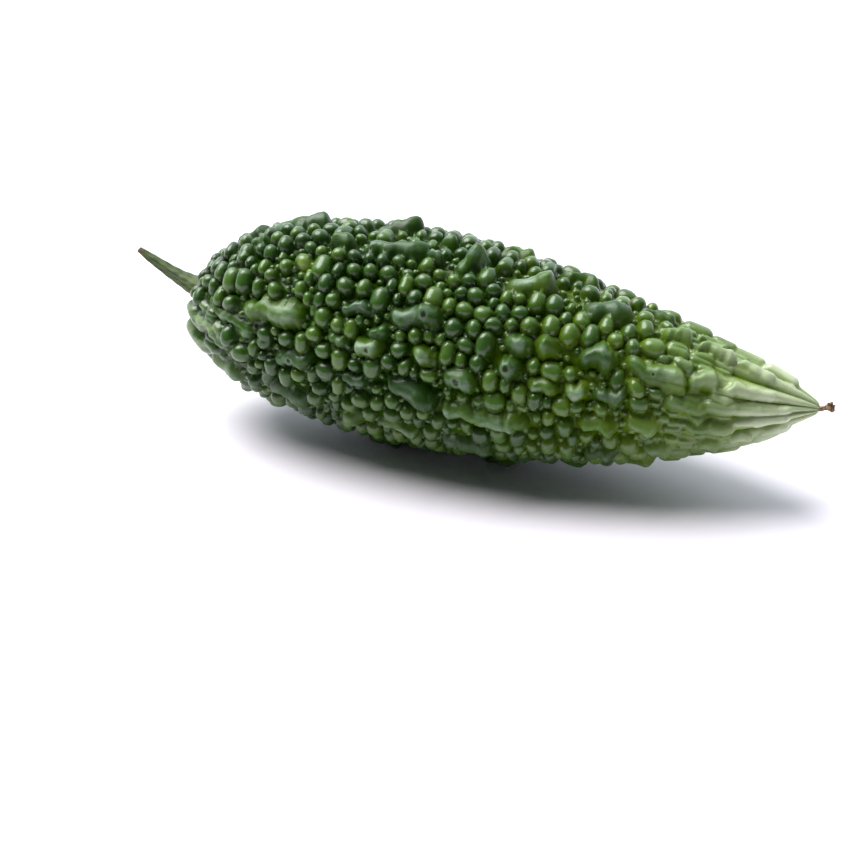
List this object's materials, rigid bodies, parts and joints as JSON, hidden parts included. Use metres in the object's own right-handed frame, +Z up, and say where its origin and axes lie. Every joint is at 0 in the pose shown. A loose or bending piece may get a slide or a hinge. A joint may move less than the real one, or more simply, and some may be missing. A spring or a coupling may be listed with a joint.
{
  "type": "bitter gourd",
  "caption": "Whole bitter gourd lying on its belly: warty spindle of a fruit with rows of crests and round beads, a short curved stalk and a dry flower rest.",
  "frame": {"origin": "on the surface that the fruit lies on, under the middle of its bounding box", "axes": "+X along the fruit from the stalk to the tip, +Z up, -Y the side that faces the viewer"},
  "size_m": [0.224, 0.0698, 0.0701],
  "materials": {
    "gourd_skin": "waxy dark green skin, paler at the tip",
    "stalk_skin": "matt olive green, faintly striped",
    "dry_flower": "dry brown, rough"
  },
  "bodies": {
    "root": {"gourd_body": "gourd_skin", "stalk": "stalk_skin", "dry_flower": "dry_flower"}
  },
  "joints": []
}
